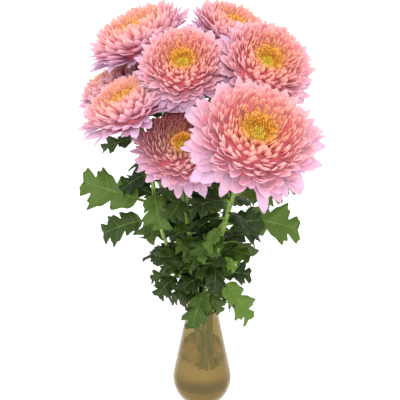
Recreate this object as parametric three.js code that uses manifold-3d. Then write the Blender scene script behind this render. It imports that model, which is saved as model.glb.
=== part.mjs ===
// Cut chrysanthemums standing in a teardrop glass jar: the jar, its water, and eight stems, each with a
// calyx, two whorls of ray petals and a disc of florets, and the largest leaves of the bunch.
// Millimetres, +Z up, the origin at the centre of the jar's flat foot, the front of the bunch towards -Y.
import * as THREE from "three";
import { mergeVertices } from "three/addons/utils/BufferGeometryUtils.js";
import Module from "manifold-3d";

const wasm = await Module();
wasm.setup();

// Driving dimensions
const GAP = 0.4; // clearance between pieces that touch
const JAR = {
  bulbRadius: 42.5,
  bulbHeight: 32,
  neckRadius: 20.5,
  neckHeight: 158,
  lipRadius: 24.5,
  height: 171,
  wall: 3,
  floor: 8,
  segments: 36,
};
const WATER_LEVEL = 93;
const STEM = {
  radius: 2.7,
  sides: 8,
  steps: 18,
  footHeight: 60, // the cut ends hang in the water, clear of the jar's floor
  footRing: 9.5, // radius of the ring of cut ends
  footLean: 6, // the ring of cut ends leans this far to the right
  neckRing: 11.8, // radius of the ring where the stems pass the neck
  twist: 50, // degrees that the bunch turns between neck and cut ends
};
const CALYX = { depth: 15, radius: 13, segments: 12 };
const RAYS = { outerPetals: 16, innerPetals: 12 };

// One row for each bloom. heart is where its petals meet, azimuth and elevation are the way it faces,
// slot is the stem's place round the neck, half is where the stem passes half-way up,
// and straight is the length of stem behind the bloom that already points its way.
const BLOOMS = [
  {
    name: "front", heart: [46, -91, 444], diameter: 130, azimuth: -74,
    elevation: 57, slot: 305, half: [19, -27], straight: 30,
  },
  {
    name: "back_left", heart: [-68, 84, 491], diameter: 130, azimuth: 197,
    elevation: 68, slot: 125, half: [-23, 35], straight: 30,
  },
  {
    name: "middle", heart: [-20, -4, 488], diameter: 104, azimuth: -92,
    elevation: 55, slot: 215, half: [-18, 14], straight: 30,
  },
  {
    name: "right", heart: [61, -1, 488], diameter: 114, azimuth: -66,
    elevation: 51, slot: 350, half: [28, 16], straight: 30,
  },
  {
    name: "left", heart: [-75, -8, 442], diameter: 110, azimuth: 198,
    elevation: 66, slot: 170, half: [-50, -1], straight: 12,
  },
  {
    name: "low", heart: [-22, -27, 403], diameter: 108, azimuth: -77,
    elevation: 62, slot: 260, half: [-12, -12], straight: 30,
  },
  {
    name: "back_right", heart: [32, 116, 495], diameter: 110, azimuth: -30,
    elevation: 67, slot: 35, half: [12, 56], straight: 30,
  },
  {
    name: "far_left", heart: [-105, 108, 429], diameter: 108, azimuth: 170,
    elevation: 60, slot: 80, half: [-43, 59], straight: 30,
  },
];

// One row for each leaf: the stem it grows on, the height it leaves it at, its way out as azimuth and rise,
// its size, how far it arches and how far it is rolled about its own length.
const LEAVES = [
  {
    name: "leaf_left_high", stem: "left", at: 324, azimuth: 178, rise: 33,
    length: 90, width: 60, arch: 6, roll: -55,
  },
  {
    name: "leaf_left_curled", stem: "left", at: 310, azimuth: -162, rise: -27,
    length: 68, width: 46, arch: 18, roll: -30,
  },
  {
    name: "leaf_left_low", stem: "left", at: 228, azimuth: -165, rise: -30,
    length: 34, width: 28, arch: 6, roll: -20,
  },
  {
    name: "leaf_left_pointed", stem: "far_left", at: 226, azimuth: -172, rise: -18,
    length: 40, width: 28, arch: 5, roll: -20,
  },
  {
    name: "leaf_shaded_left", stem: "far_left", at: 372, azimuth: 175, rise: -12,
    length: 58, width: 36, arch: 5, roll: -30,
  },
  {
    name: "leaf_hanging_left", stem: "middle", at: 214, azimuth: 205, rise: -58,
    length: 42, width: 26, arch: 5, roll: 0,
  },
  {
    name: "leaf_over_lip", stem: "front", at: 222, azimuth: -130, rise: -38,
    length: 60, width: 46, arch: 8, roll: 0,
  },
  {
    name: "leaf_over_lip_right", stem: "front", at: 244, azimuth: -42, rise: -50,
    length: 76, width: 48, arch: 8, roll: 0,
  },
  {
    name: "leaf_right_high", stem: "right", at: 302, azimuth: -17, rise: -10,
    length: 92, width: 60, arch: 9, roll: 42,
  },
  {
    name: "leaf_right_shaded", stem: "right", at: 350, azimuth: 2, rise: -12,
    length: 88, width: 40, arch: 8, roll: 20,
  },
  {
    name: "leaf_right_small", stem: "right", at: 258, azimuth: -20, rise: -10,
    length: 36, width: 30, arch: 5, roll: 25,
  },
  {
    name: "leaf_front_tall", stem: "front", at: 338, azimuth: -136, rise: -46,
    length: 58, width: 26, arch: 5, roll: 0,
  },
  {
    name: "leaf_front_left", stem: "low", at: 252, azimuth: -140, rise: 16,
    length: 52, width: 38, arch: 7, roll: -35,
  },
  {
    name: "leaf_front_small", stem: "front", at: 266, azimuth: -34, rise: -4,
    length: 28, width: 20, arch: 4, roll: 30,
  },
  {
    name: "leaf_front_middle", stem: "front", at: 268, azimuth: -84, rise: 20,
    length: 54, width: 36, arch: 7, roll: -20,
  },
  {
    name: "leaf_back_right", stem: "back_right", at: 300, azimuth: 62, rise: -32,
    length: 88, width: 50, arch: 12, roll: 0,
  },
  {
    name: "leaf_back_left", stem: "back_left", at: 306, azimuth: 82, rise: -18,
    length: 80, width: 46, arch: 12, roll: 0,
  },
  {
    name: "leaf_back_low", stem: "far_left", at: 262, azimuth: 142, rise: -30,
    length: 70, width: 44, arch: 10, roll: 0,
  },
];
const LEAF = { thickness: 0.9, petiole: 0.24, petioleWidth: 2.6, slant: 0.35, cup: 0.12 };
// Half-width of the blade as a share of its widest, from the end of the petiole to the tip
const LOBES = [0.4, 0.85, 0.95, 0.5, 0.9, 1, 0.85, 0.42, 0.6, 0.12];

const finish = {
  glass: new THREE.MeshStandardMaterial({
    color: 0xa08a60,
    roughness: 0.05,
    transparent: true,
    opacity: 0.45,
  }),
  water: new THREE.MeshStandardMaterial({
    color: 0xb9b08c,
    roughness: 0.02,
    transparent: true,
    opacity: 0.35,
  }),
  stem: new THREE.MeshStandardMaterial({ color: 0x6f8a45, roughness: 0.6 }),
  leaf: new THREE.MeshStandardMaterial({ color: 0x3f6626, roughness: 0.55 }),
  calyx: new THREE.MeshStandardMaterial({ color: 0x5c7d38, roughness: 0.6 }),
  outerPetals: new THREE.MeshStandardMaterial({ color: 0xe8a9c6, roughness: 0.55 }),
  innerPetals: new THREE.MeshStandardMaterial({ color: 0xf29a96, roughness: 0.55 }),
  disc: new THREE.MeshStandardMaterial({ color: 0xe3a51f, roughness: 0.7 }),
};

const radians = THREE.MathUtils.degToRad;
const direction = (azimuth, elevation) =>
  new THREE.Vector3(
    Math.cos(radians(elevation)) * Math.cos(radians(azimuth)),
    Math.cos(radians(elevation)) * Math.sin(radians(azimuth)),
    Math.sin(radians(elevation)),
  );
const onRing = (radius, angle, height) =>
  new THREE.Vector3(radius * Math.cos(radians(angle)), radius * Math.sin(radians(angle)), height);

const object = new THREE.Group();
function add(name, geometry, material, parent = object) {
  const mesh = new THREE.Mesh(geometry, material);
  mesh.name = name;
  parent.add(mesh);
  return mesh;
}

// A body turned about +Z from a profile of [radius, height] points that starts and ends on the axis
function turned(profile, segments) {
  const points = profile.map(([radius, height]) => new THREE.Vector2(Math.max(radius, 0), height));
  return new THREE.LatheGeometry(points, segments).rotateX(Math.PI / 2);
}

// The jar's side, from its foot up to height top, moved in by inset: part of a ball, then a straight cone
function jarSide(inset, bottom, top) {
  const radius = JAR.bulbRadius - inset;
  const tangent = Math.atan2(JAR.bulbRadius - JAR.neckRadius, JAR.neckHeight - JAR.bulbHeight);
  const first = Math.asin((bottom - JAR.bulbHeight) / radius);
  const arcSteps = 6;
  const points = [];
  for (let i = 0; i <= arcSteps; i += 1) {
    const angle = first + ((tangent - first) * i) / arcSteps;
    points.push([radius * Math.cos(angle), JAR.bulbHeight + radius * Math.sin(angle)]);
  }
  const [startRadius, startHeight] = points[arcSteps];
  const neck = JAR.neckRadius - inset;
  const share = (top - startHeight) / (JAR.neckHeight - startHeight);
  points.push([startRadius + (neck - startRadius) * share, top]);
  return points;
}

function jarGeometry() {
  const inside = jarSide(JAR.wall, JAR.floor, JAR.neckHeight).reverse();
  const lipInside = JAR.lipRadius - JAR.wall;
  return turned(
    [
      [0, 0],
      ...jarSide(0, 0, JAR.neckHeight),
      [JAR.neckRadius + 0.6, JAR.neckHeight + 5],
      [JAR.lipRadius, JAR.height - 3],
      [JAR.lipRadius, JAR.height - 1],
      [JAR.lipRadius - 1, JAR.height],
      [lipInside + 0.8, JAR.height],
      [JAR.neckRadius - JAR.wall + 0.8, JAR.neckHeight + 5],
      ...inside,
      [0, JAR.floor],
    ],
    JAR.segments,
  );
}

// A closed mesh as a manifold-3d solid
function solid(geometry) {
  const bare = geometry.clone().deleteAttribute("normal").deleteAttribute("uv");
  const merged = mergeVertices(bare, 1e-3);
  return new wasm.Manifold(
    new wasm.Mesh({
      numProp: 3,
      vertProperties: merged.attributes.position.array,
      triVerts: new Uint32Array(merged.index.array),
    }),
  );
}

function geometryOf(manifold) {
  const mesh = manifold.getMesh();
  const geometry = new THREE.BufferGeometry();
  geometry.setAttribute("position", new THREE.BufferAttribute(mesh.vertProperties, mesh.numProp));
  geometry.setIndex(new THREE.BufferAttribute(mesh.triVerts, 1));
  return geometry;
}

// The two ends of a stem's straight stretch in the jar: its cut end and where it passes the neck
function inJar(bloom) {
  const foot = onRing(STEM.footRing, bloom.slot + STEM.twist, STEM.footHeight);
  foot.x += STEM.footLean;
  return { foot, neck: onRing(STEM.neckRing, bloom.slot, JAR.neckHeight) };
}

// Still water up to its level, with a pit where each stem dips in
function waterGeometry() {
  const side = jarSide(JAR.wall + GAP, JAR.floor + GAP, WATER_LEVEL);
  let water = solid(turned([[0, JAR.floor + GAP], ...side, [0, WATER_LEVEL]], JAR.segments));
  const pitRadius = (STEM.radius + GAP) / Math.cos(Math.PI / STEM.sides);
  for (const bloom of BLOOMS) {
    const { foot, neck } = inJar(bloom);
    const way = neck.clone().sub(foot).normalize();
    const from = foot.clone().addScaledVector(way, -2 * GAP);
    const length = foot.distanceTo(neck);
    const pit = new THREE.CylinderGeometry(pitRadius, pitRadius, length, STEM.sides);
    pit.translate(0, length / 2, 0);
    pit.applyQuaternion(new THREE.Quaternion().setFromUnitVectors(new THREE.Vector3(0, 1, 0), way));
    pit.translate(from.x, from.y, from.z);
    water = water.subtract(solid(pit));
  }
  return geometryOf(water);
}

// A stem's centreline: straight through the jar, then bending out to the back of its bloom
function stemLine(bloom) {
  const { foot, neck } = inJar(bloom);
  const heart = new THREE.Vector3(...bloom.heart);
  const facing = direction(bloom.azimuth, bloom.elevation);
  const top = heart.clone().addScaledVector(facing, -(CALYX.depth + GAP));
  const under = top.clone().addScaledVector(facing, -bloom.straight);
  const clear = neck.clone().lerp(foot, -0.12);
  const half = new THREE.Vector3(
    ...bloom.half,
    THREE.MathUtils.lerp(neck.z, under.z, 0.5),
  );
  const middle = foot.clone().lerp(neck, 0.5);
  return new THREE.CatmullRomCurve3([foot, middle, neck, clear, half, under, top], false, "centripetal");
}

function stemGeometry(line) {
  const section = new THREE.Shape();
  section.absarc(0, 0, STEM.radius, 0, 2 * Math.PI);
  return new THREE.ExtrudeGeometry(section, {
    steps: STEM.steps,
    curveSegments: STEM.sides / 2,
    extrudePath: line,
  });
}

// A bloom's pieces are made facing +Z with the heart at the origin
function calyxGeometry() {
  const { depth, radius, segments } = CALYX;
  return turned(
    [
      [0, -depth],
      [STEM.radius + 0.8, -depth],
      [0.42 * radius, -0.75 * depth],
      [0.85 * radius, -0.4 * depth],
      [radius, -GAP],
      [0, -GAP],
    ],
    segments,
  );
}

// A dish of petals: a thin turned shell whose rim is drawn in between the petals' tips
function petalDish(profile, petals, notch) {
  const columns = 2 * petals;
  const geometry = turned(profile, columns);
  const reach = Math.max(...profile.map(([radius]) => radius));
  const place = geometry.attributes.position;
  for (let i = 0; i < place.count; i += 1) {
    const x = place.getX(i);
    const y = place.getY(i);
    const radius = Math.hypot(x, y);
    const column = Math.round((Math.atan2(y, x) / (2 * Math.PI)) * columns);
    const between = column % 2 !== 0;
    const drawn = between ? 1 - notch * (radius / reach) ** 3 : 1;
    place.setXY(i, x * drawn, y * drawn);
  }
  return geometry;
}

// The long outer petals: a shallow bowl
function outerPetals(radius) {
  const reach = 0.9 * radius;
  return petalDish(
    [
      [0, 0],
      [0.5 * reach, 0.05 * radius],
      [reach, 0.26 * radius],
      [0.96 * reach, 0.26 * radius + 2],
      [0.5 * reach, 0.05 * radius + 2.6],
      [0, 2.5],
    ],
    RAYS.outerPetals,
    0.16,
  );
}

// The closed mass of shorter petals that dome up round a crater
function innerPetals(radius) {
  const base = 2.9 + GAP;
  return petalDish(
    [
      [0, base],
      [0.45 * radius, base + 0.05 * radius + 0.4],
      [0.72 * radius, 0.3 * radius],
      [0.74 * radius, 0.4 * radius],
      [0.54 * radius, 0.56 * radius],
      [0.36 * radius, 0.58 * radius],
      [0.25 * radius, 0.46 * radius],
      [0, 0.4 * radius],
    ],
    RAYS.innerPetals,
    0.14,
  );
}

// The button of florets in the crater
function discGeometry(radius) {
  const base = 0.4 * radius + GAP;
  return turned(
    [
      [0, base],
      [0.18 * radius, base + 0.047 * radius],
      [0.19 * radius, base + 0.08 * radius],
      [0.12 * radius, base + 0.11 * radius],
      [0, base + 0.12 * radius],
    ],
    12,
  );
}

// A lobed leaf with its petiole, along +X from the origin, its upper side towards +Z and arched that way
function leafGeometry(leaf) {
  const stations = 13;
  const geometry = new THREE.BoxGeometry(1, 1, 1, stations, 2, 1);
  geometry.translate(0.5, 0, 0);
  const place = geometry.attributes.position;
  for (let i = 0; i < place.count; i += 1) {
    const along = place.getX(i);
    const across = 2 * place.getY(i);
    const station = Math.round(along * stations);
    const blade = station - (stations - LOBES.length + 1);
    const half = blade < 0 ? LEAF.petioleWidth / 2 : (leaf.width / 2) * LOBES[blade];
    const forward = blade < 0 ? 0 : LEAF.slant * half * Math.abs(across);
    const x = Math.min(along * leaf.length + forward, leaf.length);
    const lift = 4 * leaf.arch * along * (1 - along) - LEAF.cup * half * across * across;
    const thickness = blade < 0 ? 2 : LEAF.thickness;
    place.setXYZ(i, x, half * across, lift + place.getZ(i) * thickness);
  }
  return geometry;
}

// Turns and moves a leaf so that its petiole starts just clear of its stem
function placeLeaf(mesh, leaf, line) {
  const along = direction(leaf.azimuth, leaf.rise);
  const side = new THREE.Vector3().crossVectors(new THREE.Vector3(0, 0, 1), along).normalize();
  const up = new THREE.Vector3().crossVectors(along, side);
  mesh.quaternion.setFromRotationMatrix(new THREE.Matrix4().makeBasis(along, side, up));
  mesh.quaternion.multiply(
    new THREE.Quaternion().setFromAxisAngle(new THREE.Vector3(1, 0, 0), radians(leaf.roll)),
  );
  const places = line.getSpacedPoints(200);
  const node = places.reduce((best, p) => (Math.abs(p.z - leaf.at) < Math.abs(best.z - leaf.at) ? p : best));
  const level = Math.cos(radians(leaf.rise));
  mesh.position.copy(node).addScaledVector(along, (STEM.radius + 1.4) / Math.max(level, 0.5));
}

add("jar", jarGeometry(), finish.glass);
add("water", waterGeometry(), finish.water);

const lines = new Map();
for (const bloom of BLOOMS) {
  const line = stemLine(bloom);
  lines.set(bloom.name, line);
  add(`${bloom.name}_stem`, stemGeometry(line), finish.stem);

  const head = new THREE.Group();
  head.position.set(...bloom.heart);
  head.quaternion.setFromUnitVectors(
    new THREE.Vector3(0, 0, 1),
    direction(bloom.azimuth, bloom.elevation),
  );
  object.add(head);
  const radius = bloom.diameter / 2;
  add(`${bloom.name}_calyx`, calyxGeometry(), finish.calyx, head);
  add(`${bloom.name}_outer_petals`, outerPetals(radius), finish.outerPetals, head);
  add(`${bloom.name}_inner_petals`, innerPetals(radius), finish.innerPetals, head);
  add(`${bloom.name}_disc`, discGeometry(radius), finish.disc, head);
}

for (const leaf of LEAVES) {
  const mesh = add(leaf.name, leafGeometry(leaf), finish.leaf);
  placeLeaf(mesh, leaf, lines.get(leaf.stem));
}

export default object;
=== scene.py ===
import math
import random

import bmesh
import bpy
from mathutils import Matrix, Vector


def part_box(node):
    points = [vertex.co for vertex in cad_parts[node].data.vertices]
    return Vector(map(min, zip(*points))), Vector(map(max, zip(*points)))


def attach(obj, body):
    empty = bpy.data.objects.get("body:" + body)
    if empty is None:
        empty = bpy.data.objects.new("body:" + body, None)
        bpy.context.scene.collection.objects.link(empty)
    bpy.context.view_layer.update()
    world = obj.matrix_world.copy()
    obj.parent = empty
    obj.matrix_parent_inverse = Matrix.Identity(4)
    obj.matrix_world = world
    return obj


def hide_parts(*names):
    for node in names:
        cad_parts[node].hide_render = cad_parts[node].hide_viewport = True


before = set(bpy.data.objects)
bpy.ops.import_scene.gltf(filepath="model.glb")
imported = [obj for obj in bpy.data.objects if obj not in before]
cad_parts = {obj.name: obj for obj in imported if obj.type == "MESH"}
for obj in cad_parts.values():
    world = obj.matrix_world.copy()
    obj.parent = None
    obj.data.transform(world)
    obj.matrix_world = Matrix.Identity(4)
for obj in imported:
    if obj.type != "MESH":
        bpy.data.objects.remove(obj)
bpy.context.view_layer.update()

# ---------------------------------------------------------------------------------------------------
# The jar: one blown piece of tan tinted glass, a ball drawn up into a cone, with its lip opened out
# and fire-polished round. It is turned from one profile, and everything else stands in it.

MM = 0.001


class Tint:
    """A number or colour on its way through a material's nodes. Arithmetic on it adds Math nodes."""

    def __init__(self, tree, socket=None):
        self.tree = tree
        self.socket = socket

    def node(self, kind, settings, inputs, out=0):
        """Adds a node: its settings first, then its sockets' values or links. Returns one output."""
        made = self.tree.nodes.new("ShaderNode" + kind)
        for name, value in settings.items():
            if name == "stops":
                ramp = made.color_ramp.elements
                while len(ramp) < len(value):
                    ramp.new(1.0)
                for stop, (place, colour) in zip(ramp, value):
                    stop.position = place
                    stop.color = colour
            else:
                setattr(made, name, value)
        for name, value in inputs.items():
            if isinstance(value, Tint):
                self.tree.links.new(value.socket, made.inputs[name])
            else:
                made.inputs[name].default_value = value
        return Tint(self.tree, made.outputs[out])

    def maths(self, operation, first, second):
        return self.node("Math", {"operation": operation}, {0: first, 1: second})

    def __add__(self, other):
        return self.maths("ADD", self, other)

    def __sub__(self, other):
        return self.maths("SUBTRACT", self, other)

    def __mul__(self, other):
        return self.maths("MULTIPLY", self, other)

    def __rsub__(self, other):
        return self.maths("SUBTRACT", other, self)

    def clamped(self):
        return self.node("Clamp", {}, {"Value": self})

    def smooth(self, low, high):
        """0 below low, 1 above high, and a soft step between them."""
        return self.node(
            "MapRange",
            {"interpolation_type": "SMOOTHSTEP"},
            {"Value": self, "From Min": low, "From Max": high},
        )

    def mix(self, first, second):
        """The first colour where this is 0 and the second where it is 1."""
        return self.node("Mix", {"data_type": "RGBA"}, {0: self, 6: first, 7: second}, out=2)

    def noise(self, place, scale, detail=2.0):
        return self.node("TexNoise", {}, {"Vector": place, "Scale": scale, "Detail": detail})


def colour(red, green, blue):
    """A colour as a screen states it, each part from 0 to 255, as the linear light that a shader takes."""
    return tuple((c / 255) ** 2.2 for c in (red, green, blue)) + (1.0,)


def new_material(name):
    """A material with its one shader, and the Tint that its nodes start from."""
    material = bpy.data.materials.new(name)
    material.use_nodes = True
    tree = material.node_tree
    return material, tree.nodes["Principled BSDF"], Tint(tree)


def object_place(start):
    return start.node("TexCoord", {}, {}, out="Object")


def bump(start, height, depth, target):
    """Raises a surface by height, as far as depth in metres."""
    raised = start.node("Bump", {}, {"Height": height, "Distance": depth})
    start.tree.links.new(raised.socket, target.inputs["Normal"])


def paint(tint, target, name):
    tint.tree.links.new(tint.socket, target.inputs[name])


def put_in_place(name, shape, materials, slot, *nodes):
    """Makes a finished bmesh a piece that stands for its CAD nodes."""
    mesh = bpy.data.meshes.new(name)
    shape.to_mesh(mesh)
    shape.free()
    piece = bpy.data.objects.new(name, mesh)
    bpy.context.scene.collection.objects.link(piece)
    for material in materials:
        mesh.materials.append(material)
    for face in mesh.polygons:
        face.use_smooth = True
    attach(piece, "root")
    if nodes:
        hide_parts(*nodes)
    return piece


def turned(shape, profile, steps):
    """Turns a line of (radius, height) points round the Z axis."""
    line = [shape.verts.new((max(radius, 0.0), 0.0, height)) for radius, height in profile]
    edges = [shape.edges.new(pair) for pair in zip(line, line[1:])]
    bmesh.ops.spin(
        shape,
        geom=line + edges,
        axis=(0, 0, 1),
        cent=(0, 0, 0),
        angle=math.tau,
        steps=steps,
        use_merge=True,
    )
    bmesh.ops.remove_doubles(shape, verts=shape.verts, dist=1e-6)
    bmesh.ops.recalc_face_normals(shape, faces=shape.faces)


jar_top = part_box("jar")[1]
jar_height = jar_top.z
bulb_radius = jar_top.x
bulb_centre = 0.753 * bulb_radius
neck_height = 0.924 * jar_height
neck_radius = 0.482 * bulb_radius
lip_radius = 0.576 * bulb_radius
jar_wall = 3 * MM
jar_floor = 8 * MM
BALL_STEPS = 26
CONE_STEPS = 12


def jar_side(inset, bottom, top):
    """The jar's side moved in by inset: part of a ball, then a nearly straight cone up to the neck."""
    radius = bulb_radius - inset
    lean = math.atan2(bulb_radius - neck_radius, neck_height - bulb_centre)
    first = math.asin(max(-1.0, (bottom - bulb_centre) / radius))
    points = []
    for i in range(BALL_STEPS + 1):
        angle = first + (lean - first) * i / BALL_STEPS
        points.append((radius * math.cos(angle), bulb_centre + radius * math.sin(angle)))
    start_radius, start_height = points[-1]
    neck = neck_radius - inset
    for i in range(1, CONE_STEPS + 1):
        share = i / CONE_STEPS * (top - start_height) / (neck_height - start_height)
        points.append(
            (
                start_radius + (neck - start_radius) * share,
                start_height + (neck_height - start_height) * share,
            )
        )
    return points


jar = bmesh.new()
lip_centre = (lip_radius - 0.5 * jar_wall, jar_height - 0.5 * jar_wall)
lip_round = [
    (
        lip_centre[0] + 0.5 * jar_wall * math.cos(math.radians(angle)),
        lip_centre[1] + 0.5 * jar_wall * math.sin(math.radians(angle)),
    )
    for angle in range(-40, 201, 30)
]
outside = jar_side(0.0, 0.0, neck_height)
foot_radius = outside[0][0]
inside = jar_side(jar_wall, jar_floor, neck_height)
turned(
    jar,
    [(0.0, 1.2 * MM), (0.45 * foot_radius, 1.0 * MM), (0.86 * foot_radius, 0.0)]
    + outside[1:]
    + [(neck_radius + 0.2 * MM, neck_height + 3 * MM), (neck_radius + 1.3 * MM, neck_height + 7 * MM)]
    + lip_round
    + [(neck_radius - jar_wall + 1.2 * MM, neck_height + 7 * MM)]
    + [(neck_radius - jar_wall + 0.1 * MM, neck_height + 3 * MM)]
    + inside[::-1]
    + [(0.0, jar_floor + 0.8 * MM)],
    steps=96,
)

jar_glass, shader, start = new_material("jar_glass")
shader.inputs["Base Color"].default_value = colour(226, 210, 160)
shader.inputs["Roughness"].default_value = 0.04
shader.inputs["Transmission Weight"].default_value = 0.93
shader.inputs["IOR"].default_value = 1.12
ripple = start.noise(object_place(start), 55.0, 1.0)
bump(start, ripple, 0.15 * MM, shader)
tinted = start.node("VolumeAbsorption", {}, {"Color": colour(152, 132, 84), "Density": 118.0})
paint(tinted, start.tree.nodes["Material Output"], "Volume")
put_in_place("jar", jar, [jar_glass], "jar_glass", "jar")

# ---------------------------------------------------------------------------------------------------
# The water: it stands a little over half-way up the jar, slightly clouded, and creeps up the glass at
# its rim. It is turned from the jar's inner profile, a hair's breadth inside it.

water_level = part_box("water")[1].z
water_gap = 0.15 * MM
water_side = jar_side(jar_wall + water_gap, jar_floor + water_gap, water_level)
rim_radius = water_side[-1][0]
water = bmesh.new()
turned(
    water,
    [(0.0, jar_floor + water_gap)]
    + water_side
    + [
        (rim_radius - 0.9 * MM, water_level - 0.8 * MM),
        (rim_radius - 2.6 * MM, water_level - 1.3 * MM),
        (0.0, water_level - 1.4 * MM),
    ],
    steps=96,
)
clouded_water, shader, start = new_material("clouded_water")
shader.inputs["Base Color"].default_value = colour(232, 222, 196)
shader.inputs["Roughness"].default_value = 0.02
shader.inputs["Transmission Weight"].default_value = 1.0
shader.inputs["IOR"].default_value = 1.33
put_in_place("water", water, [clouded_water], "water", "water")

# ---------------------------------------------------------------------------------------------------
# The stems: eight green stalks with low ribs and slight knees evenly up them, cut square at the
# foot. Each follows its packed stem's centreline and runs on into the back of its bloom.

BLOOMS = sorted(node[: -len("_stem")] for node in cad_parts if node.endswith("_stem"))
STEM_RADIUS = 2.5 * MM
STEM_SIDES = 15
STEM_STEPS = 44
KNEES_APART = 24  # millimetres along the stem
CALYX_GAP = 0.4 * MM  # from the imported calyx's top up to the bloom's heart
CALYX_DEPTH = 14 * MM  # how far behind its bloom's heart a stem ends
DISH_SHARE = 0.9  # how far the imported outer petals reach, as a share of the bloom's radius


def corners(node):
    """A CAD node's corners, each one once."""
    found = {tuple(round(c, 6) for c in v.co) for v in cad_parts[node].data.vertices}
    return [Vector(c) for c in sorted(found)]


def middle(points):
    return sum(points, Vector()) / len(points)


def bloom_frame(name):
    """A bloom's heart, the way it faces, and its radius."""
    calyx_points = corners(name + "_calyx")
    facing = (middle(corners(name + "_disc")) - middle(calyx_points)).normalized()
    back = middle(calyx_points)
    top = max((point - back).dot(facing) for point in calyx_points)
    heart = back + facing * (top + CALYX_GAP)
    petals = [point - heart for point in corners(name + "_outer_petals")]
    reach = max((point - facing * point.dot(facing)).length for point in petals)
    return heart, facing, reach / DISH_SHARE


def centreline(name):
    """The middle of a stem from its cut end up to the back of its bloom."""
    heart, facing, _ = blooms[name]
    solid = bmesh.new()
    solid.from_mesh(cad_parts[name + "_stem"].data)
    bmesh.ops.remove_doubles(solid, verts=solid.verts, dist=1e-6)
    bottom = min(solid.verts, key=lambda v: v.co.z).co.z
    points = []
    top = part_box(name + "_stem")[1].z - 6 * MM
    for i in range(STEM_STEPS + 1):
        height = bottom + 0.8 * MM + (top - bottom) * i / STEM_STEPS
        cut = bmesh.ops.bisect_plane(
            solid,
            geom=solid.verts[:] + solid.edges[:] + solid.faces[:],
            plane_co=(0, 0, height),
            plane_no=(0, 0, 1),
        )["geom_cut"]
        ring = [v.co for v in cut if isinstance(v, bmesh.types.BMVert)]
        lowest = Vector(map(min, zip(*ring)))
        highest = Vector(map(max, zip(*ring)))
        points.append((lowest + highest) / 2)
    solid.free()
    points.append(heart - facing * CALYX_DEPTH)
    return points


blooms = {name: bloom_frame(name) for name in BLOOMS}
lines = {name: centreline(name) for name in BLOOMS}


def sideways(along):
    """Two directions square to along and to each other."""
    hint = Vector((0, 0, 1)) if abs(along.z) < 0.9 else Vector((0, 1, 0))
    first = hint.cross(along).normalized()
    return first, along.cross(first).normalized()


def stem_shape(name):
    """A ribbed tube: a ring drawn along the centreline, with knees evenly up it."""
    shape = bmesh.new()
    line = lines[name]
    side = sideways((line[1] - line[0]).normalized())[0]
    ring = bmesh.ops.create_circle(shape, segments=STEM_SIDES, radius=STEM_RADIUS)["verts"]
    shape.faces.new(ring[::-1])
    travelled = 0.0
    for i, point in enumerate(line):
        before = line[max(i - 1, 0)]
        after = line[min(i + 1, len(line) - 1)]
        along = (after - before).normalized()
        side = (side - along * side.dot(along)).normalized()
        other = along.cross(side)
        travelled += (point - before).length
        knee = math.exp(-(((travelled / MM) % KNEES_APART - KNEES_APART / 2) ** 2) / 3.0)
        if i:
            edges = list({edge for v in ring for edge in v.link_edges if edge.other_vert(v) in ring})
            ring_order = {v: k for k, v in enumerate(ring)}
            made = bmesh.ops.extrude_edge_only(shape, edges=edges)["geom"]
            new = [g for g in made if isinstance(g, bmesh.types.BMVert)]
            below = {
                v: next(e.other_vert(v) for e in v.link_edges if e.other_vert(v) in ring_order)
                for v in new
            }
            ring = sorted(new, key=lambda v: ring_order[below[v]])
        for k, vert in enumerate(ring):
            angle = math.tau * k / STEM_SIDES
            radius = STEM_RADIUS * (1.0 + 0.06 * (k % 3 == 0) + 0.1 * knee)
            vert.co = point + side * math.cos(angle) * radius + other * math.sin(angle) * radius
    shape.faces.new(ring)
    bmesh.ops.recalc_face_normals(shape, faces=shape.faces)
    return shape


def attribute(start, name):
    return start.node("Attribute", {"attribute_name": name}, {}, out="Fac")


stem_skin, shader, start = new_material("stem_skin")
height = start.node("SeparateXYZ", {}, {"Vector": object_place(start)}, out="Z")
streaks = start.noise(
    start.node(
        "VectorMath", {"operation": "MULTIPLY"}, {0: object_place(start), 1: (900.0, 900.0, 40.0)}
    ),
    1.0,
)
green = streaks.smooth(0.3, 0.7).mix(colour(92, 124, 44), colour(140, 164, 84))
faded = height.smooth(90 * MM, 60 * MM)
paint(faded.mix(green, colour(166, 172, 100)), shader, "Base Color")
shader.inputs["Roughness"].default_value = 0.5
bump(start, streaks, 0.25 * MM, shader)

for name in BLOOMS:
    put_in_place(name + "_stem", stem_shape(name), [stem_skin], "stem", name + "_stem")

# ---------------------------------------------------------------------------------------------------
# The leaves: thin blades cut into pairs of toothed lobes that point forwards, with a raised midrib below,
# a sunk one above and a side vein out to every lobe, on a short channelled stalk from the stem.

LOBES = 2.6  # pairs of lobes, the last one part of the tip
STALK_SHARE = 0.24  # of a whole leaf's length
STALK_HALF = 1.3 * MM
GROOVE = 0.35 * MM
LEAF_THICKNESS = 0.45 * MM


def leaf_outline(share):
    """Half the blade's width, as a share of its widest, at a place from its foot to its tip."""
    envelope = min(1.0, 0.5 + 1.3 * share) * max(0.0, 1.0 - share**3) ** 0.5
    wave = abs(math.sin(math.pi * (LOBES * share + 0.12)))
    return envelope * (0.32 + 0.68 * wave**0.6)


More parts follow.
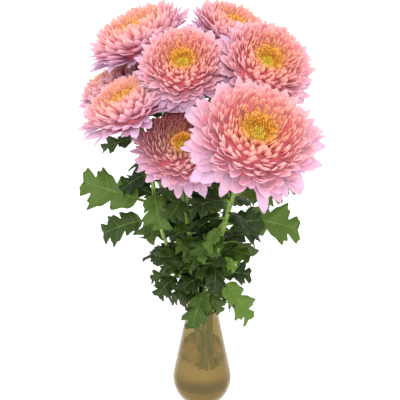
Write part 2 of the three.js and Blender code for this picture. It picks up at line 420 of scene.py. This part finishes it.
def leaf_shape(shape, matrix, length, width, arch, seed, shade, stalk_share=STALK_SHARE):
    """One leaf, along X from where its stalk joins the stem, its upper side towards Z."""
    dice = random.Random(seed)
    columns = 40
    rows = 8
    tone = shape.verts.layers.float.get("tone") or shape.verts.layers.float.new("tone")
    on_stalk = shape.verts.layers.float.get("stalk") or shape.verts.layers.float.new("stalk")
    verts = bmesh.ops.create_grid(
        shape, x_segments=columns, y_segments=rows, size=0.5, calc_uvs=True
    )["verts"]
    sway = dice.uniform(-0.10, 0.10)
    fold = dice.uniform(-0.05, 0.32)
    ruffle = dice.uniform(0.03, 0.07) * width
    phase = dice.uniform(0, math.tau)
    for vert in verts:
        along = vert.co.x + 0.5
        across = 2 * vert.co.y
        side = 1 if across >= 0 else -1
        blade = (along - stalk_share) / (1 - stalk_share)
        if blade <= 0:
            roll = math.radians(140) * (1 - max(0.0, 1 + 6 * blade) ** 2 * 0.6)
            half = STALK_HALF
            x = along * length
            y = half * math.sin(across * roll) / max(math.sin(min(roll, 1.5)), 0.2)
            lift = -half * math.cos(across * roll)
        else:
            uneven = 1 + 0.12 * side * math.sin(phase + 5 * blade)
            teeth = 1 + 0.11 * math.sin(math.pi * LOBES * 5 * blade + phase) * across**4
            half = 0.5 * width * leaf_outline(blade) * uneven * teeth
            half = max(half, STALK_HALF * (1 - blade))
            slant = 0.60 * half * abs(across) * min(1.0, 4 * blade)
            x = (stalk_share + (1 - stalk_share) * blade * 0.93) * length + slant
            y = half * across
            lift = fold * abs(y) - 0.9 / width * y * y * (0.4 + fold)
            lift += ruffle * abs(across) * math.sin(phase + 14 * blade + 1.3 * side)
            lift -= GROOVE * math.exp(-((across / 0.12) ** 2))
        reach = min(x / length, 1.0)
        lift += 4 * arch * reach * (1 - reach)
        y += sway * length * reach**2
        vert.co = matrix @ Vector((min(x, length), y, lift))
        vert[tone] = shade
        vert[on_stalk] = max(0.0, min(1.0, -4 * blade + 0.3))


def leaf_frame(node):
    """Where a packed leaf is: its stalk's foot, its own axes, its length, width and arch."""
    points = corners(node)
    centre = middle(points)
    far = max(points, key=lambda p: (p - centre).length)
    other = max(points, key=lambda p: (p - far).length)
    along = (other - far).normalized()
    length = (other - far).length

    def spread(end):
        near = [p - end for p in points if (p - end).length < 0.22 * length]
        return max((p - along * p.dot(along)).length for p in near)

    foot, tip = (far, other) if spread(far) < spread(other) else (other, far)
    along = (tip - foot).normalized()
    across = [(p - foot) - along * (p - foot).dot(along) for p in points]
    widest = max(
        (a - b for a in across for b in across[::3]), key=lambda gap: gap.length
    )
    side = (widest - along * widest.dot(along)).normalized()
    up = along.cross(side).normalized()
    heights = [p.dot(up) for p in across]
    if abs(min(heights)) > abs(max(heights)):
        up = -up
        side = -side
        heights = [-h for h in heights]
    matrix = Matrix((along, side, up)).transposed().to_4x4()
    matrix.translation = foot
    return matrix, length, widest.length, max(0.0, 0.8 * max(heights))


def leaf_material(name, upper_side):
    """Dark green above with pale sunk veins, and a duller grey green below with raised ones."""
    material, shader, start = new_material(name)
    place = start.node("UVMap", {"uv_map": "blade"}, {})
    along = start.node("SeparateXYZ", {}, {"Vector": place}, out="X")
    across = start.node("SeparateXYZ", {}, {"Vector": place}, out="Y")
    out = start.node("Math", {"operation": "ABSOLUTE"}, {0: across * 2 - 1})
    midrib = 1 - out.smooth(0.0, 0.07)
    lobe = (along - STALK_SHARE) * (LOBES / (1 - STALK_SHARE)) + 0.12
    ripple = start.node("Math", {"operation": "COSINE"}, {0: lobe * math.pi})
    side_vein = start.node("Math", {"operation": "ABSOLUTE"}, {0: ripple}).smooth(0.14, 0.0)
    stalk = attribute(start, "stalk").clamped()
    veins = (midrib + side_vein * (1 - out) * 0.8 * (1 - stalk)).clamped()
    cells = start.noise(object_place(start), 420.0, 3.0)
    blotch = start.noise(object_place(start), 38.0, 2.0)
    tone = attribute(start, "tone")
    mood = (tone + (blotch - 0.5) * 0.25 + (cells - 0.5) * 0.12).clamped()
    if upper_side:
        blade = mood.mix(colour(12, 30, 2), colour(96, 124, 46))
        rib = colour(118, 148, 74)
        shader.inputs["Roughness"].default_value = 0.55
    else:
        blade = mood.mix(colour(36, 56, 18), colour(110, 136, 70))
        rib = colour(124, 148, 88)
        shader.inputs["Roughness"].default_value = 0.7
    shader.inputs["Specular IOR Level"].default_value = 0.22
    green = (veins * 0.4).mix(blade, rib)
    paint(stalk.mix(green, colour(118, 146, 70)), shader, "Base Color")
    raised = cells * 0.4 + (veins * -1.0 if upper_side else veins)
    bump(start, raised, GROOVE, shader)
    return material


leaf_top = leaf_material("leaf_top", True)
leaf_under = leaf_material("leaf_under", False)


def thickened(piece, thickness):
    """Gives a sheet its thickness, with the second material on its under side."""
    skin = piece.modifiers.new("thickness", "SOLIDIFY")
    skin.thickness = thickness
    skin.offset = -1.0
    skin.material_offset = 1
    skin.material_offset_rim = 1
    return piece


LEAVES = sorted(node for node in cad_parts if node.startswith("leaf_"))
DARK_SHADE = 0.18  # a leaf's shade runs from 0, darkest, to 1, palest
PALER_LEAVES = {
    "leaf_over_lip_right": 0.72,
    "leaf_left_high": 0.48,
    "leaf_over_lip": 0.34,
    "leaf_front_small": 0.95,
    "leaf_right_high": 0.52,
    "leaf_front_tall": 0.5,
}
for number, node in enumerate(LEAVES):
    shape = bmesh.new()
    shape.loops.layers.uv.new("blade")
    matrix, length, width, arch = leaf_frame(node)
    shade = PALER_LEAVES.get(node, DARK_SHADE)
    leaf_shape(shape, matrix, length, 0.86 * width, arch, number, shade)
    thickened(
        put_in_place(node, shape, [leaf_top, leaf_under], "leaf", node), LEAF_THICKNESS
    )

# ---------------------------------------------------------------------------------------------------
# The small leaves: every stem carries more leaves most of the way up, each a third of a turn or so on
# from the last. They crowd the middle of the bunch and keep its inside dark.

GOLDEN = math.radians(137.5)
SMALL_LEAVES = {"lowest": 190 * MM, "highest": 440 * MM, "apart": 10 * MM}
NEAR_LIP = 215 * MM  # leaves joined below this height hang down round the jar's lip
BARE_STEM = "left"
BARE_HEIGHTS = (250 * MM, 350 * MM)


def at_height(line, height):
    """The place on a centreline at a height."""
    for below, above in zip(line, line[1:]):
        if above.z >= height:
            return below.lerp(above, (height - below.z) / max(above.z - below.z, 1e-6))
    return line[-1]


for number, name in enumerate(BLOOMS):
    dice = random.Random(100 + number)
    shape = bmesh.new()
    shape.loops.layers.uv.new("blade")
    height = SMALL_LEAVES["lowest"] + dice.uniform(0, 12) * MM
    turn = dice.uniform(0, math.tau)
    highest = min(SMALL_LEAVES["highest"], blooms[name][0].z - 55 * MM)
    while height < highest:
        if name == BARE_STEM and BARE_HEIGHTS[0] < height < BARE_HEIGHTS[1]:
            height = BARE_HEIGHTS[1]
        node = at_height(lines[name], height)
        rise = math.radians(dice.uniform(-50, -25) if height < NEAR_LIP else dice.uniform(-35, 20))
        along = Vector(
            (math.cos(rise) * math.cos(turn), math.cos(rise) * math.sin(turn), math.sin(rise))
        )
        side = Vector((0, 0, 1)).cross(along).normalized()
        matrix = Matrix((along, side, along.cross(side))).transposed().to_4x4()
        matrix = matrix @ Matrix.Rotation(math.radians(dice.uniform(-35, 35)), 4, "X")
        matrix.translation = node + along * STEM_RADIUS
        grown = min(1.0, 0.75 + (height - SMALL_LEAVES["lowest"]) / (300 * MM))
        length = dice.uniform(40, 58) * MM * grown
        leaf_shape(
            shape,
            matrix,
            length,
            length * dice.uniform(0.62, 0.8),
            dice.uniform(3, 9) * MM,
            seed=1000 * number + int(height / MM),
            shade=0.05 + 0.45 * dice.random() ** 2,
            stalk_share=0.16,
        )
        turn += GOLDEN
        height += SMALL_LEAVES["apart"] * dice.uniform(0.8, 1.2)
    thickened(
        put_in_place(name + "_small_leaves", shape, [leaf_top, leaf_under], "leaf"),
        LEAF_THICKNESS,
    )

# ---------------------------------------------------------------------------------------------------
# The calyxes: a shallow green cup behind each bloom, sheathed in rows of narrow overlapping bracts with
# thin brown papery edges.


def facing_matrix(heart, facing):
    """Turns a piece made facing +Z at the origin to face the way its bloom does."""
    side, other = sideways(facing)
    matrix = Matrix((side, other, facing)).transposed().to_4x4()
    matrix.translation = heart
    return matrix


def calyx_shape(name):
    heart, facing, _ = blooms[name]
    shape = bmesh.new()
    shape.loops.layers.uv.new("bract")
    turned(
        shape,
        [
            (0.0, -14.5 * MM),
            (3.0 * MM, -14.5 * MM),
            (5.0 * MM, -11.5 * MM),
            (9.5 * MM, -6.5 * MM),
            (11.5 * MM, -1.5 * MM),
            (0.0, -1.0 * MM),
        ],
        steps=26,
    )
    for row, (count, foot, top, radius) in enumerate(
        [(13, -13.5, -5.0, 3.4), (13, -10.5, -1.8, 6.6), (13, -7.5, 0.6, 9.4)]
    ):
        for k in range(count):
            turn = math.tau * (k + 0.5 * (row % 2)) / count
            grid = bmesh.ops.create_grid(
                shape, x_segments=4, y_segments=5, size=0.5, calc_uvs=True
            )["verts"]
            for vert in grid:
                up = vert.co.y + 0.5
                across = 2 * vert.co.x
                half = 2.5 * MM * (1 - 0.85 * up**2)
                out = radius * MM + (3.6 * MM) * up**0.8 + 0.5 * MM - 0.5 * MM * across**2
                z = (foot + (top - foot) * up) * MM
                angle = turn + across * half / out
                vert.co = Vector((out * math.cos(angle), out * math.sin(angle), z))
            bract = list({face for vert in grid for face in vert.link_faces})
            bmesh.ops.solidify(shape, geom=bract, thickness=0.35 * MM)
    bmesh.ops.transform(shape, matrix=facing_matrix(heart, facing), verts=shape.verts)
    return shape


bract_skin, shader, start = new_material("bract_skin")
place = start.node("UVMap", {"uv_map": "bract"}, {})
across = start.node("SeparateXYZ", {}, {"Vector": place}, out="X")
edge = start.node("Math", {"operation": "ABSOLUTE"}, {0: across * 2 - 1}).smooth(0.6, 1.0)
mottle = start.noise(object_place(start), 300.0, 2.0)
green = mottle.smooth(0.3, 0.7).mix(colour(78, 106, 44), colour(122, 146, 72))
paint(edge.mix(green, colour(140, 122, 78)), shader, "Base Color")
shader.inputs["Roughness"].default_value = 0.6
bump(start, mottle, 0.2 * MM, shader)

for name in BLOOMS:
    put_in_place(name + "_calyx", calyx_shape(name), [bract_skin], "calyx", name + "_calyx")

# ---------------------------------------------------------------------------------------------------
# The ray petals: over four hundred to a bloom, set round its middle in a spiral. The inner ones are
# narrow rolled spoons that stand up and lean in; the outer ones are long, broad straps that spread,
# the lowest of them loosely.

PETALS = 460
INNER_SHARE = 0.62
PETAL_THICKNESS = 0.35 * MM
TRANSLUCENCY = 0.55
LOOSE_FROM = 0.86  # the order past which some petals droop
LEVEL_RIM = 0.84  # how far up a bloom faces if its rim is level: more, and its rim is cupped
# order from the crater out: reach and height of the tip and width as shares of the bloom's radius, the
# rise of its foot and of its tip in degrees, and how far round it is rolled, in degrees to each side
PETAL_STAGES = [
    (0.00, 0.26, 0.51, 0.044, 84, 92, 140),
    (0.12, 0.34, 0.58, 0.068, 80, 102, 130),
    (0.28, 0.46, 0.62, 0.098, 70, 106, 108),
    (0.45, 0.61, 0.58, 0.130, 58, 94, 90),
    (0.60, 0.75, 0.50, 0.162, 46, 76, 76),
    (0.74, 0.87, 0.39, 0.190, 34, 52, 62),
    (0.86, 0.96, 0.26, 0.208, 22, 30, 54),
    (0.95, 1.02, 0.12, 0.212, 6, 8, 48),
    (1.00, 1.03, 0.00, 0.210, -10, -12, 44),
]


def petal_stage(order):
    """What a petal is like at an order from 0, round the crater, to 1, at the rim."""
    for low, high in zip(PETAL_STAGES, PETAL_STAGES[1:]):
        if order <= high[0]:
            share = (order - low[0]) / (high[0] - low[0])
            return [a + (b - a) * share for a, b in zip(low[1:], high[1:])]
    return list(PETAL_STAGES[-1][1:])


def petal_shape(shape, matrix, radius, cupped, order, turn, dice):
    """One petal: a small sheet drawn along a curve from the bloom's middle out to its tip."""
    inner = order < INNER_SHARE
    reach, height, width, foot_rise, tip_rise, rolled = petal_stage(order)
    reach *= radius * dice.uniform(0.95 - 0.12 * order, 1.05 + 0.03 * order)
    height = radius * (height + dice.uniform(-0.05, 0.05) * (0.4 + order))
    height += radius * cupped * (reach / radius) ** 4
    width *= radius * dice.uniform(0.80, 1.14)
    tip_rise += dice.uniform(-16, 16)
    tip_rise += 90 * cupped * order**4
    if order > LOOSE_FROM and dice.random() < 0.4:
        height -= radius * dice.uniform(0.05, 0.22)
        reach *= 0.96
        tip_rise -= 30
    foot = Vector((0.16 * radius + 0.05 * radius * order, 0.16 * radius * (1 - order)))
    tip = Vector((reach, height))
    pull = 0.42 * (tip - foot).length
    foot_way = Vector((math.cos(math.radians(foot_rise)), math.sin(math.radians(foot_rise))))
    tip_way = Vector((math.cos(math.radians(tip_rise)), math.sin(math.radians(tip_rise))))
    knots = [foot, foot + foot_way * pull, tip - tip_way * pull, tip]
    lean = dice.uniform(-0.06, 0.06) * radius
    twist = math.radians(dice.uniform(-26, 26))
    tone = dice.random()
    point_at = 0.80 if inner else dice.uniform(0.66, 0.80)
    verts = bmesh.ops.create_grid(
        shape, x_segments=4, y_segments=7 if inner else 9, size=0.5, calc_uvs=True
    )["verts"]
    for vert in verts:
        along = (vert.co.y + 0.5) ** 0.8
        across = 2 * vert.co.x
        back = 1 - along
        point = (
            knots[0] * back**3
            + knots[1] * 3 * back**2 * along
            + knots[2] * 3 * back * along**2
            + knots[3] * along**3
        )
        way = (
            (knots[1] - knots[0]) * back**2
            + (knots[2] - knots[1]) * 2 * back * along
            + (knots[3] - knots[2]) * along**2
        ).normalized()
        swell = 0.34 + 0.66 * min(1.0, along / 0.70) ** 1.2
        taper = math.sqrt(max(0.0, 1 - (max(0.0, along - point_at) / (1.005 - point_at)) ** 2))
        half = 0.5 * width * swell * max(taper, 0.16)
        roll = math.radians(rolled) * (1 - 0.55 * along)
        bow = half / roll
        side = -bow * math.sin(across * roll)
        rise = bow * (1 - math.cos(across * roll))
        turned_by = twist * along
        side, rise = (
            side * math.cos(turned_by) - rise * math.sin(turned_by),
            side * math.sin(turned_by) + rise * math.cos(turned_by),
        )
        outward = point.x - way.y * rise
        upward = point.y + way.x * rise
        side += lean * along**2
        vert.co = matrix @ Vector(
            (
                outward * math.cos(turn) - side * math.sin(turn),
                outward * math.sin(turn) + side * math.cos(turn),
                upward,
            )
        )
        vert[shape.verts.layers.float["order"]] = order
        vert[shape.verts.layers.float["tone"]] = tone


# painted shade: how far the upper petals of a bloom are darkened to maroon for the shade the blooms above
# cast on them, in full at the height below, in radii over its heart
MAROON_SHADE = {"low": 0.9, "far_left": 0.3}
MAROON_SHADE_FULL_AT = 0.8

# the heap that the petals' crowded feet make, as shares of the bloom's radius
FEET = [(0.26, 0.34), (0.35, 0.42), (0.44, 0.41), (0.52, 0.35), (0.59, 0.26), (0.64, 0.16), (0.66, 0.09)]
FEET_ORDER = 0.35  # it is coloured as the petals of this order are at their feet


def feet_shape(shape, matrix, radius, cupped):
    """Starts a shape with a plain round heap under the petals' tips, where their feet crowd together."""
    turned(shape, [(r * radius, (h + cupped * r**4) * radius) for r, h in FEET], steps=40)
    for vert in shape.verts:
        vert[shape.verts.layers.float["order"]] = FEET_ORDER
    bmesh.ops.transform(shape, matrix=matrix, verts=shape.verts)


def petal_shapes(name, seed):
    """A bloom's inner and outer petals, as two meshes."""
    heart, facing, radius = blooms[name]
    matrix = facing_matrix(heart, facing)
    cupped = facing.z - LEVEL_RIM
    dice = random.Random(seed)
    shapes = []
    for _ in range(2):
        shape = bmesh.new()
        shape.loops.layers.uv.new("petal")
        for layer in ("order", "tone", "blush"):
            shape.verts.layers.float.new(layer)
        shapes.append(shape)
    feet_shape(shapes[0], matrix, radius, cupped)
    for number in range(PETALS):
        order = number / PETALS
        petal_shape(
            shapes[0] if order < INNER_SHARE else shapes[1],
            matrix,
            radius,
            cupped,
            order,
            number * GOLDEN + dice.uniform(-0.09, 0.09),
            dice,
        )
    # Painted shade: each petal point takes its share of the maroon by how high it stands over its bloom's
    # heart.
    for shape in shapes:
        for vert in shape.verts:
            upward = max(0.0, min(1.0, (vert.co.z - heart.z) / (MAROON_SHADE_FULL_AT * radius)))
            vert[shape.verts.layers.float["blush"]] = MAROON_SHADE.get(name, 0.0) * upward
    return shapes


# colours from the crater out: of a petal's face, of its back, and of its tip and edges
FACE_COLOURS = [
    (0.00, colour(252, 186, 104)),
    (0.10, colour(248, 166, 160)),
    (0.28, colour(246, 158, 180)),
    (0.60, colour(246, 180, 196)),
    (0.85, colour(238, 206, 220)),
    (1.00, colour(230, 212, 230)),
]
BACK_COLOURS = [
    (0.00, colour(250, 190, 112)),
    (0.14, colour(252, 186, 170)),
    (0.35, colour(252, 186, 182)),
    (0.65, colour(246, 192, 202)),
    (0.85, colour(236, 190, 214)),
    (1.00, colour(226, 192, 220)),
]
TIP_COLOURS = [
    (0.00, colour(255, 210, 124)),
    (0.14, colour(255, 216, 178)),
    (0.35, colour(255, 216, 200)),
    (0.65, colour(252, 216, 218)),
    (0.85, colour(244, 208, 224)),
    (1.00, colour(234, 204, 230)),
]


def petal_material(name, body_colours, maroon_shade_share):
    """Coral pink at the foot, cream at the inner petals' tips and lilac at the outer ones'. The last
    argument is how far this side of a petal takes the painted maroon shade on its bloom's upper petals."""
    material, shader, start = new_material(name)
    place = start.node("UVMap", {"uv_map": "petal"}, {})
    across = start.node("SeparateXYZ", {}, {"Vector": place}, out="X")
    along = start.node("SeparateXYZ", {}, {"Vector": place}, out="Y")
    order = attribute(start, "order")
    tone = attribute(start, "tone")
    body = start.node("ValToRGB", {"stops": body_colours}, {"Fac": order})
    tips = start.node("ValToRGB", {"stops": TIP_COLOURS}, {"Fac": order})
    foot = order.smooth(0.1, 0.35).mix(colour(242, 156, 92), colour(250, 136, 152))
    edge = start.node("Math", {"operation": "ABSOLUTE"}, {0: across * 2 - 1}).smooth(0.70, 1.0)
    pink = along.smooth(0.0, 0.35).mix(foot, body)
    pink = (along.smooth(0.60, 1.0) * 0.75).mix(pink, tips)
    pink = (edge * along.smooth(0.2, 0.6) * 0.5).mix(pink, tips)
    ribs = start.node("Math", {"operation": "SINE"}, {0: across * 44.0})
    streak = start.noise(
        start.node("VectorMath", {"operation": "MULTIPLY"}, {0: place, 1: (14.0, 1.5, 1.0)}), 1.0
    )
    veined = (ribs * 0.03 + streak * 0.10 + tone * 0.10).clamped()
    skin = veined.mix(pink, colour(252, 228, 240))
    # Painted shade: the upper petals of the shaded blooms are mixed towards a deep maroon.
    skin = (attribute(start, "blush") * maroon_shade_share).mix(skin, colour(168, 22, 40))
    paint(skin, shader, "Base Color")
    shader.inputs["Roughness"].default_value = 0.55
    shader.inputs["Specular IOR Level"].default_value = 0.3
    bump(start, ribs * 0.3 + streak, 0.18 * MM, shader)
    glow = start.node("BsdfTranslucent", {}, {"Color": skin})
    lit = Tint(start.tree, shader.outputs["BSDF"])
    thin = start.node("MixShader", {}, {0: TRANSLUCENCY, 1: lit, 2: glow})
    paint(thin, start.tree.nodes["Material Output"], "Surface")
    return material


# The petals' faces take the painted maroon shade in full, and their backs a quarter of it.
petal_face = petal_material("petal_face", FACE_COLOURS, 1.0)
petal_back = petal_material("petal_back", BACK_COLOURS, 0.25)

for seed, name in enumerate(BLOOMS):
    inner, outer = petal_shapes(name, seed)
    for part, shape in (("inner_petals", inner), ("outer_petals", outer)):
        node = f"{name}_{part}"
        thickened(
            put_in_place(node, shape, [petal_face, petal_back], part, node), PETAL_THICKNESS
        )

# ---------------------------------------------------------------------------------------------------
# The discs: small tubular florets that line each bloom's crater. They are short and green at its bottom,
# and long and golden up its wall, where they pass into the petals.

FLORETS = 200
CRATER = {"radius": 0.26, "flat": 0.12, "bottom": 0.34, "top": 0.50}  # shares of the bloom's radius


def floret(shape, place):
    """A five-sided tube with a hollow mouth, one unit long and wide before it goes to its place."""
    verts = bmesh.ops.create_cone(
        shape, cap_ends=True, segments=5, radius1=0.55, radius2=1.0, depth=1.0
    )["verts"]
    faces = {face for vert in verts for face in vert.link_faces}
    mouth = max(faces, key=lambda face: face.calc_center_median().z)
    rim = bmesh.ops.inset_region(shape, faces=[mouth], thickness=0.35)["faces"]
    bmesh.ops.translate(shape, verts=mouth.verts, vec=(0, 0, -0.3))
    verts = list({*verts, *(vert for face in rim for vert in face.verts)})
    bmesh.ops.transform(shape, matrix=place, verts=verts)
    return verts


def disc_shape(name, seed):
    heart, facing, radius = blooms[name]
    dice = random.Random(500 + seed)
    shape = bmesh.new()
    order = shape.verts.layers.float.new("order")
    tone = shape.verts.layers.float.new("tone")
    crater = CRATER["radius"]
    bottom = CRATER["bottom"]
    top = CRATER["top"]
    turned(
        shape,
        [
            (r * radius, h * radius)
            for r, h in [
                (0.0, 0.2),
                (0.16, 0.22),
                (crater, top - 0.20),
                (crater, top - 0.12),
                (CRATER["flat"], bottom - 0.03),
                (0.0, bottom - 0.02),
            ]
        ],
        steps=20,
    )
    # Painted shade: the cup under the florets is given the darkest painted shade, as tone 1.
    for vert in shape.verts:
        vert[order] = 0.56
        vert[tone] = 1.0
    for number in range(FLORETS):
        share = math.sqrt((number + 0.5) / FLORETS)
        out = crater * share
        up_wall = max(0.0, (out - CRATER["flat"]) / (crater - CRATER["flat"]))
        width = radius * (0.013 + 0.005 * up_wall) * dice.uniform(0.85, 1.15)
        length = radius * (0.05 + 0.10 * up_wall) * dice.uniform(0.7, 1.3)
        height = radius * (bottom + (top - bottom) * up_wall**0.8 + dice.uniform(-0.02, 0.02) * up_wall)
        # Painted shade: how much of the deep brown orange shade this floret is painted with, chosen at
        # random.
        floret_shade = dice.random()
        place = (
            Matrix.Rotation(number * GOLDEN, 4, "Z")
            @ Matrix.Translation((out * radius, 0, height - 0.5 * length))
            @ Matrix.Rotation(math.radians(dice.uniform(-9, 9) - 10 * up_wall), 4, "Y")
            @ Matrix.Diagonal((width, width, length, 1.0))
        )
        for vert in floret(shape, place):
            vert[order] = share
            vert[tone] = floret_shade
    bmesh.ops.transform(shape, matrix=facing_matrix(heart, facing), verts=shape.verts)
    return shape


floret_skin, shader, start = new_material("floret_skin")
grain = start.noise(object_place(start), 900.0, 2.0)
gold = start.node(
    "ValToRGB",
    {
        "stops": [
            (0.00, colour(176, 184, 40)),
            (0.40, colour(218, 198, 36)),
            (0.56, colour(206, 140, 24)),
            (0.78, colour(238, 166, 46)),
            (1.00, colour(248, 178, 96)),
        ]
    },
    {"Fac": attribute(start, "order")},
)
# Painted shade: the cup and about half of the florets, at random, are mixed towards a deep brown orange
# for the shadow between the tubes, and grain darkens them a little more.
shaded = (grain * 0.25 + attribute(start, "tone").smooth(0.5, 0.9) * 0.6).clamped()
paint(shaded.mix(gold, colour(150, 84, 20)), shader, "Base Color")
shader.inputs["Roughness"].default_value = 0.6
bump(start, grain, 0.2 * MM, shader)

for seed, name in enumerate(BLOOMS):
    put_in_place(
        name + "_disc", disc_shape(name, seed), [floret_skin], "disc_florets", name + "_disc"
    )

# ---------------------------------------------------------------------------------------------------
# The stand: a plain white floor, a soft white surround, a soft lamp overhead and a little to the front
# left, a fill light from behind the camera, and a camera looking down at the bunch.

floor = bmesh.new()
bmesh.ops.create_grid(floor, x_segments=1, y_segments=1, size=20.0)
floor_mesh = bpy.data.meshes.new("floor")
floor.to_mesh(floor_mesh)
floor.free()
floor_piece = bpy.data.objects.new("floor", floor_mesh)
bpy.context.scene.collection.objects.link(floor_piece)
floor_white, shader, start = new_material("floor_white")
shader.inputs["Base Color"].default_value = (0.6, 0.6, 0.6, 1.0)
shader.inputs["Emission Color"].default_value = (1.0, 1.0, 1.0, 1.0)
shader.inputs["Emission Strength"].default_value = 0.4
shader.inputs["Roughness"].default_value = 0.9
floor_mesh.materials.append(floor_white)

world = bpy.data.worlds.new("surround")
world.use_nodes = True
world.node_tree.nodes["Background"].inputs["Color"].default_value = (1.0, 1.0, 1.0, 1.0)
sky = Tint(world.node_tree)
up = sky.node("SeparateXYZ", {}, {"Vector": sky.node("TexCoord", {}, {}, out="Generated")}, out="Z")
paint(up.clamped() * 0.85 + 0.8, world.node_tree.nodes["Background"], "Strength")
bpy.context.scene.world = world

lamp = bpy.data.lights.new("lamp", "SUN")
lamp.angle = math.radians(30)
lamp.energy = 0.78
lamp_piece = bpy.data.objects.new("lamp", lamp)
lamp_piece.rotation_euler = Vector((0.15, 0.45, -0.95)).to_track_quat("-Z", "Y").to_euler()
bpy.context.scene.collection.objects.link(lamp_piece)

fill = bpy.data.lights.new("fill", "SUN")
fill.angle = math.radians(8)
fill.energy = 1.65
fill_piece = bpy.data.objects.new("fill", fill)
fill_piece.rotation_euler = (math.radians(62), 0.0, 0.0)
bpy.context.scene.collection.objects.link(fill_piece)

lens = bpy.data.cameras.new("camera")
lens.lens = 47.0
lens.sensor_width = 36.0
camera = bpy.data.objects.new("camera", lens)
camera.location = (-3 * MM, -543 * MM, 646 * MM)
camera.rotation_euler = (math.radians(60), 0.0, 0.0)
bpy.context.scene.collection.objects.link(camera)
bpy.context.scene.camera = camera
bpy.context.scene.view_settings.view_transform = "Standard"

bpy.context.view_layer.update()
